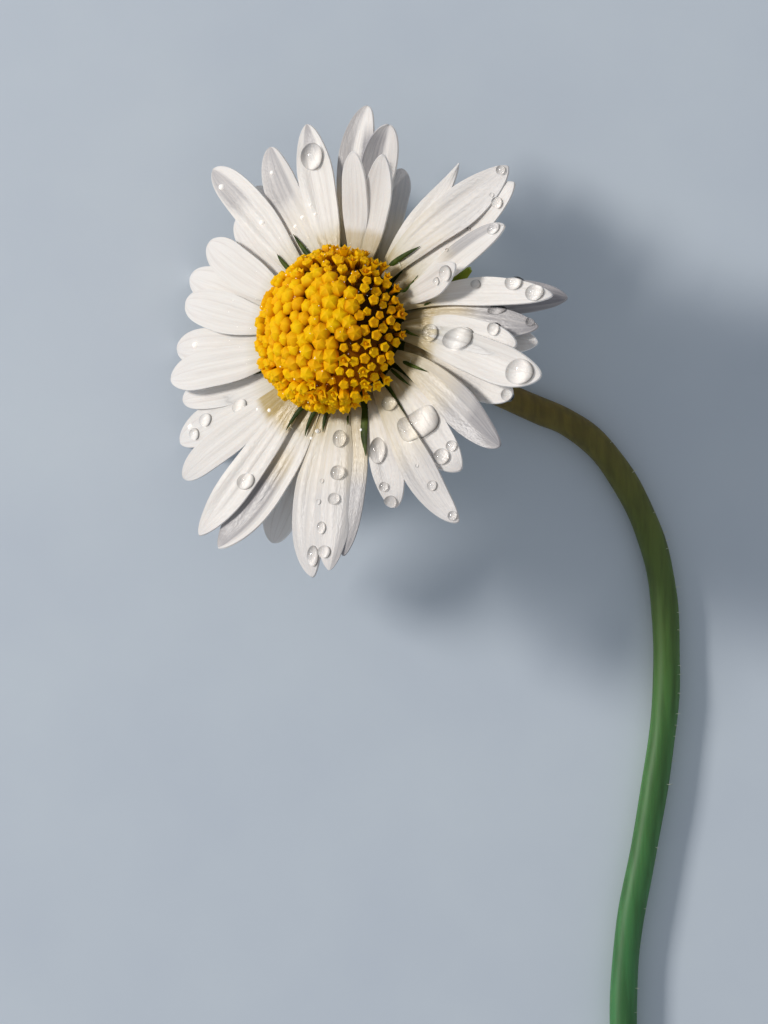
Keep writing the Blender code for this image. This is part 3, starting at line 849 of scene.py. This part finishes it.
# %% The material of the cut end
# Where the stem was picked, its moist pale pith shows inside a thin green rind.
cut_pith, tree, shader = new_material("cut_pith", Roughness=0.35)
place = add(tree, "TexCoord").outputs["Object"]
fibre_ends = add(tree, "TexNoise", Vector=place, Scale=6000, Detail=2)
pale = add(tree, "ValToRGB", Fac=fibre_ends, stops=((0.35, "#8FA45E"), (0.6, "#C6D29C")))
tree.links.new(pale.outputs["Color"], shader.inputs["Base Color"])
fibre_bump = add(tree, "Bump", Strength=0.5, Distance=0.03 * MM, Height=fibre_ends)
tree.links.new(fibre_bump.outputs["Normal"], shader.inputs["Normal"])

# %% The stem
# The middle of the part that lies down, across and up from the head's middle.
STEM_RUN = (
    (9.8, -3.95), (11.2, -4.55), (12.65, -5.6), (13.95, -7.25), (15.0, -9.2), (15.75, -11.3),
    (16.15, -13.6), (16.27, -16.2), (16.2, -19.0), (15.75, -22.5), (15.1, -26.3), (14.4, -30.0),
    (14.1, -33.5), (14.15, -37.5), (14.5, -42.0), (15.1, -46.5), (15.9, -51.0),
)
STEM_RADIUS = 0.69
BEND_STEPS = 24
RUN_STEPS = 6


def smoothed(places, steps):
    """The places with points of a smooth curve set between them."""
    padded = [places[0] * 2 - places[1], *places, places[-1] * 2 - places[-2]]
    smooth_line = []
    for before, first, last, after in zip(padded, padded[1:], padded[2:], padded[3:]):
        path = (first, first + (last - before) / 6, last - (after - first) / 6, last)
        smooth_line.extend(curve_at(path, step / steps)[0] for step in range(steps))
    return smooth_line + [places[-1]]


start = HEAD - FACING * CUP_DEPTH
run = [Vector((HEAD.x + across, HEAD.y + up, STEM_RADIUS)) for across, up in STEM_RUN]
onward = (run[1] - run[0]).normalized()
bend = (start, start - FACING * 3.4, run[0] - onward * 4.2, run[0])
stem_line = [HEAD + FACING * height for height in (-1.25, -2.0, -3.0, -4.0)]
stem_line += [curve_at(bend, step / BEND_STEPS)[0] for step in range(BEND_STEPS)]
stem_line += smoothed(run, RUN_STEPS)

path = bpy.data.curves.new("stem_path", "CURVE")
path.dimensions = "3D"
path.bevel_depth = STEM_RADIUS * MM
path.bevel_resolution = 5
path.use_fill_caps = True
spline = path.splines.new("POLY")
spline.points.add(len(stem_line) - 1)
for number, (point, place) in enumerate(zip(spline.points, stem_line)):
    point.co = (*(place * MM), 1)
    point.radius = 1 + 0.02 * math.sin(number * 0.7)
stalk = bpy.data.objects.new("bare_stem", path)
bpy.context.scene.collection.objects.link(stalk)
choose(stalk)
bpy.ops.object.convert(target="MESH")
stalk = bpy.context.active_object
bpy.ops.object.mode_set(mode="EDIT")
bpy.ops.mesh.select_all(action="SELECT")
bpy.ops.mesh.remove_doubles(threshold=0.00001)
bpy.ops.mesh.select_all(action="DESELECT")
bpy.ops.object.mode_set(mode="OBJECT")

# The cut end gets a thin rind with moist pith inside it.
cut_line = min(vertex.co.y for vertex in stalk.data.vertices) + 0.2 * MM
for face in stalk.data.polygons:
    face.select = face.normal.y < -0.9 and face.center.y < cut_line
bpy.ops.object.mode_set(mode="EDIT")
bpy.ops.mesh.select_mode(type="FACE")
bpy.ops.mesh.inset(thickness=0.12 * MM, depth=-0.03 * MM)
bpy.ops.mesh.inset(thickness=0.25 * MM, depth=0.05 * MM)
bpy.ops.object.mode_set(mode="OBJECT")
smooth(stalk, 30)
keep(stalk, "stem", "stem", stem_skin, cut_pith)
for face in stalk.data.polygons:
    face.material_index = face.normal.y < -0.7 and face.center.y < cut_line

# %% [markdown]
# ## The fine hairs
# The bracts and the stem of a daisy are softly hairy. A hair is a hundredth of a millimetre thick
# and up to half a millimetre long. Here it is drawn four times as thick, so that it just shows. One
# hair is turned from a square, bent a little, and copied on to faces picked at random, but never
# where it would reach into the surface that the stem lies on.

# %% The hairs
plant_hair, _, _ = new_material("plant_hair", Roughness=0.45, Base_Color=light_of("#DDE0CC"))
LOWEST_HAIR = 0.1
CUT_END = -31.2
hair = turned([(0.02, -0.05), (0.016, 0.12), (0.01, 0.25), (0.003, 0.35)], 4)
for vertex in hair.data.vertices:
    vertex.co.x += 0.8 * vertex.co.z ** 2
hairs = []
for piece, count, longest in ((involucre, 500, 1.0), (stalk, 420, 0.7)):
    faces = piece.data.polygons
    for face in chance.choices(faces, weights=[face.area for face in faces], k=count):
        size = longest * chance.uniform(0.6, 1.1) * MM
        end = face.center + face.normal * 0.4 * size
        outside = end.z < LOWEST_HAIR * MM or end.y < CUT_END * MM
        if face.normal.dot(FACING) > 0.3 or outside:
            continue
        stand = face.normal.to_track_quat("Z", "Y").to_matrix().to_4x4()
        spin = Matrix.Rotation(chance.uniform(0, 6.3), 4, "Z")
        move = Matrix.Translation(face.center) @ stand @ spin
        hairs.append(copy_of(hair, move @ Matrix.Scale(size, 4)))
bpy.data.objects.remove(hair)
print(len(hairs), "hairs")
fuzz = join("fine_hairs", hairs)
smooth(fuzz, 80)
keep(fuzz, None, "stem", plant_hair)

# %% [markdown]
# ## Dew
# Water beads up on the fine cells of a petal, so each drop is a low dome that meets the surface at
# a steep angle. A drop works as a small lens: it shows a glint of the lamp on one side and gathers
# light on the other. Water bends light by an index of 1.333 and has no colour or roughness; the
# drop's colour here is painted shade, darker on the flank towards the lamp and round its rim.

# %% The water material
# Light from the lamp bends on its way through a drop: little reaches the near side of its base,
# and the far side gets a bright patch. A path tracer finds that patch too seldom to draw it clean,
# so the drops let the lamp's rays through and weigh them by where on the drop they come in. The
# "towards" number is 1 on the flank that faces the lamp and -1 on the other.
water, tree, shader = new_material("water", Roughness=0.0, IOR=1.333, Transmission_Weight=1.0)
towards, edge = (
    add(tree, "Attribute", {"attribute_name": name}).outputs["Fac"] for name in ("towards", "edge")
)
placed = add(tree, "MapRange", Value=towards, From_Min=-1.0)
# Painted shade: the drop's colour is darker on the flank towards the lamp and round the rim where
# it meets the petal.
painted_lens_shade = add(
    tree, "ValToRGB", Fac=placed,
    stops=((0.0, "#FFFFFF"), (0.4, "#F2F2F2"), (0.66, "#B4B4B4"), (1.0, "#808080")),
)
painted_rim_shade = add(
    tree, "ValToRGB", Fac=edge, stops=((0.0, "#FFFFFF"), (0.5, "#CCCCCC"), (1.0, "#464646"))
)
painted_drop_shade = add(tree, "Mix", MULTIPLY, _0=1.0, _6=painted_lens_shade, _7=painted_rim_shade).outputs[2]
tree.links.new(painted_drop_shade, shader.inputs["Base Color"])
gathered = add(
    tree, "ValToRGB", Fac=placed,
    stops=(
        (0.0, "#7A7A7A"), (0.25, "#A0A0A0"), (0.42, "#D4D4D4"), (0.53, "#FAFAFA"),
        (0.595, "#FFFFFF"), (0.71, "#DEDEDE"), (0.855, "#C9C9C9"), (0.975, "#9B9B9B"),
        (1.0, "#777777"),
    ),
)
weighed = add(tree, "VectorMath", {"operation": "SCALE"}, _0=gathered, Scale=1.45)
let_through = add(tree, "BsdfTransparent", Color=weighed)
ray = add(tree, "LightPath").outputs
to_petal = add(
    tree, "Math", {"operation": "MAXIMUM"}, _0=ray["Is Shadow Ray"], _1=ray["Is Diffuse Ray"]
)
mixed = add(tree, "MixShader", _0=to_petal, _1=shader, _2=let_through)
tree.links.new(mixed.outputs["Shader"], tree.nodes["Material Output"].inputs["Surface"])

# %% [markdown]
# The drops are placed by where they are seen, so a line is followed from the camera's place through
# the picture to the first petal that it meets. The drop sits there, tipped with the petal.

# %% The camera
# The flower lies down and the camera looks straight down on it, from far enough away that near and
# far petals keep their sizes. The picture's height takes in 51.2 mm of the surface.
PICTURE = (768, 1024)
PIXELS_PER_MM = 20
CAMERA_HEIGHT = 609
FOCUS_HEIGHT = 9
SENSOR = 36
middle = Vector((HEAD.x + 1.95, HEAD.y - 9.1, CAMERA_HEIGHT))
bpy.ops.object.camera_add(location=middle * MM, rotation=(0, 0, 0))
camera = bpy.context.active_object
camera.data.sensor_width = SENSOR
camera.data.lens = SENSOR * (CAMERA_HEIGHT - FOCUS_HEIGHT) / (PICTURE[1] / PIXELS_PER_MM)
camera.data.clip_start = 0.01
bpy.context.scene.camera = camera
print("lens:", round(camera.data.lens, 1), "mm")

# %% The drops
# Place across and down the picture, width and height in its pixels, and turn in degrees if any.
# The biggest is also squarer than an ellipse, and raised because it lies on a higher petal too.
DROPS = (
    (313, 157, 24, 28), (501, 170, 10, 10), (492, 195, 5, 5), (498, 203, 12, 12), (469, 229, 4, 4),
    (494, 229, 15, 11, 20), (447, 273, 15, 16), (437, 281, 8, 8), (476, 284, 11, 9),
    (514, 283, 19, 15), (535, 293, 20, 17), (497, 310, 20, 9), (494, 329, 13, 14),
    (459, 338, 36, 22, 10), (431, 333, 18, 18), (521, 372, 32, 26), (530, 322, 9, 9),
    (507, 395, 12, 12), (422, 424, 42, 29, 24, 3.4, 0.3), (442, 457, 17, 17), (452, 446, 12, 11),
    (390, 404, 17, 15), (433, 486, 11, 11), (453, 516, 10, 10), (417, 466, 4, 4),
    (378, 451, 17, 27), (384, 487, 10, 10), (391, 502, 14, 13), (340, 439, 15, 18),
    (338, 473, 16, 15), (334, 499, 13, 12), (319, 502, 6, 6), (322, 481, 5, 5), (322, 528, 10, 13),
    (325, 552, 14, 13), (314, 556, 13, 21), (247, 482, 20, 15, 20), (241, 407, 20, 15, 10),
    (207, 420, 19, 13, 10), (196, 434, 14, 12), (447, 250, 4, 4), (318, 431, 5, 5),
)
TOWARDS_LAMP = Vector((-0.94, 0.35, 0))
BEAD_BASE = -0.3
deselect()
bpy.ops.mesh.primitive_uv_sphere_add(segments=32, ring_count=20, radius=1)
bead = bpy.context.active_object
for vertex in bead.data.vertices:
    vertex.co.z = max(vertex.co.z, BEAD_BASE)


def from_middle(x, y):
    """A pixel's place across and up from the picture's middle, in millimetres."""
    return (x - PICTURE[0] / 2) / PIXELS_PER_MM, (PICTURE[1] / 2 - y) / PIXELS_PER_MM


def drop(x, y, width, height, turn=0, power=2, raised=0):
    """Sets one drop where the picture shows it, on the petal that is seen there. Its base follows
    the petal, or hangs a little over where the petal ends."""
    aim = Vector((*from_middle(x, y), 0))
    target = Vector((middle.x + aim.x, middle.y + aim.y, FOCUS_HEIGHT))
    ray = (target - middle).normalized()
    hit, normal, _, _ = petal_tree.ray_cast(middle * MM, ray)
    if hit is None:
        print("no petal under the drop at", x, y)
        return None
    if normal.z < 0:
        normal = -normal
    hit = hit + normal * raised * MM
    side = Vector((math.cos(math.radians(turn)), math.sin(math.radians(turn)), 0))
    side = (side - normal * side.dot(normal)).normalized()
    upward = normal.cross(side)
    wide, tall = width / PIXELS_PER_MM / 2, height / PIXELS_PER_MM / 2
    deep = 0.95 * min(wide, tall) * (1 if min(wide, tall) < 0.4 else 0.85)
    made = copy_of(bead, Matrix())
    mark(made, "edge", lambda co: min(max(1 - co.z / 0.42, 0), 1))
    mark(made, "towards", lambda co: (
        (side * co.x * wide + upward * co.y * tall).dot(TOWARDS_LAMP) / wide
    ))
    for vertex in made.data.vertices:
        x, y, z = vertex.co
        reach = max((x * x + y * y) ** 0.5, 0.001)
        square = reach / (abs(x) ** power + abs(y) ** power + 1e-9) ** (1 / power)
        foot = hit + (side * x * wide + upward * y * tall) * min(square, 1.3) * MM
        levels = []
        for around in (Vector(), side * wide, -side * wide, upward * tall, -upward * tall):
            above = foot + around * 0.12 * MM + normal * MM
            below, _, _, _ = petal_tree.ray_cast(above, -normal, 3 * MM)
            level = (below - above).dot(normal) / MM + 1 if below else -deep
            levels.append(min(level, 0.25 * deep))
        top = sum(max(level, -0.7 * deep) for level in levels) / len(levels)
        bottom = max(min(levels), -max(0.8 * deep, 0.25))
        sag = bottom + (top - bottom) * min(max((z - BEAD_BASE) / 0.5, 0), 1)
        vertex.co = foot + normal * (sag + (z + 0.2) * deep) * MM
    return made


beads = [made for made in (drop(*values) for values in DROPS) if made]
bpy.data.objects.remove(bead)
dew = join("dew_drops", beads)
smooth(dew, 80)
keep(dew, None, "petal", water)

# %% [markdown]
# Between the big drops lies dew as fine as mist: beads too small to be lenses, which the eye sees
# as white sparks. Most are on the florets and round them. Here they are a little larger than life,
# so that they show, and their glint is painted: they glow a little, though they are no lamp. Each
# is a small ball sunk halfway into what carries it, found by a line followed down on to the head.

# %% The fine dew
# The emission is a painted glint.
mist_with_painted_glint, _, _ = new_material(
    "fine_dew_with_painted_glint", Roughness=0.26, Base_Color=light_of("#FFFAF0"), Specular_IOR_Level=1.0,
    Emission_Color=light_of("#FFFFFF"), Emission_Strength=0.35,
)
# Where a spark is seen, across and down the picture, and its width in pixels.
SPARKS = (
    (220, 184, 6), (261, 221, 5), (193, 343, 6), (271, 170, 4), (302, 216, 4), (295, 225, 4),
    (310, 204, 3), (315, 213, 3), (188, 426, 6), (269, 410, 4), (257, 409, 3), (317, 431, 4),
    (311, 438, 3), (361, 430, 3),
)
SCATTERED = 70
SCATTER_RADIUS = 4.6
deselect()
bpy.ops.mesh.primitive_ico_sphere_add(subdivisions=2, radius=MM)
spark = bpy.context.active_object
head_tree = BVHTree.FromPolygons(
    [v.co for piece in (petals, disc) for v in piece.data.vertices],
    [list(f.vertices) for f in petals.data.polygons]
    + [[v + len(petals.data.vertices) for v in f.vertices] for f in disc.data.polygons],
)
seen = []
for x, y, wide in SPARKS:
    across, up = from_middle(x, y)
    seen.append((middle.x + across, middle.y + up, wide / PIXELS_PER_MM / 2))
for _ in range(SCATTERED):
    reach = SCATTER_RADIUS * math.sqrt(chance.random())
    place = head_point(reach, chance.uniform(0, 2 * math.pi), 4)
    seen.append((place.x, place.y, chance.uniform(0.012, 0.032)))
sparks = []
for x, y, radius in seen:
    hit, _, _, _ = head_tree.ray_cast(Vector((x, y, OVER_THE_FLOWER)) * MM, Vector((0, 0, -1)))
    if hit:
        sparks.append(copy_of(spark, Matrix.Translation(hit) @ Matrix.Scale(radius, 4)))
bpy.data.objects.remove(spark)
fine_dew_with_painted_glint = join("fine_dew_with_painted_glint", sparks)
smooth(fine_dew_with_painted_glint, 180)
keep(fine_dew_with_painted_glint, None, "petal", mist_with_painted_glint)

# %% [markdown]
# ## The floor and the light
# A plain pale surface with a little blue in it lets the white petals stand out. A broad lamp high
# on the left models the petals with soft shadows, and pale even surroundings fill the rest.

# %% The floor
deselect()
bpy.ops.mesh.primitive_plane_add(size=2)
floor = bpy.context.active_object
floor.name = "floor"
paper, tree, shader = new_material("matt_paper", Roughness=0.8)
place = add(tree, "TexCoord").outputs["Object"]
fibres = add(tree, "TexNoise", Vector=place, Scale=120, Detail=6)
tint = add(tree, "ValToRGB", Fac=fibres, stops=((0.3, "#D0DAE6"), (0.7, "#D6E0EA")))
tree.links.new(tint.outputs["Color"], shader.inputs["Base Color"])
floor.data.materials.append(paper)

# %% The lights
def lamp(name, place, energy, size, colour):
    """A square lamp that shines on the head."""
    deselect()
    bpy.ops.object.light_add(type="AREA", location=place)
    light = bpy.context.active_object
    light.name = name
    light.data.energy = energy
    light.data.size = size
    light.data.color = colour
    aim = HEAD * MM - light.location
    light.rotation_euler = aim.to_track_quat("-Z", "Y").to_euler()


lamp("key_light", (-0.38, 0.16, 0.255), 1.5, 0.09, (1.0, 0.96, 0.91))
lamp("fill_light", (0.3, -0.25, 0.5), 0.15, 0.4, (0.88, 0.93, 1.0))
world = bpy.data.worlds.new("soft_room")
bpy.context.scene.world = world
world.use_nodes = True
surroundings = world.node_tree.nodes["Background"].inputs
surroundings["Color"].default_value = light_of("#DCE2EA")
surroundings["Strength"].default_value = 0.4
bpy.context.scene.view_settings.view_transform = "Standard"
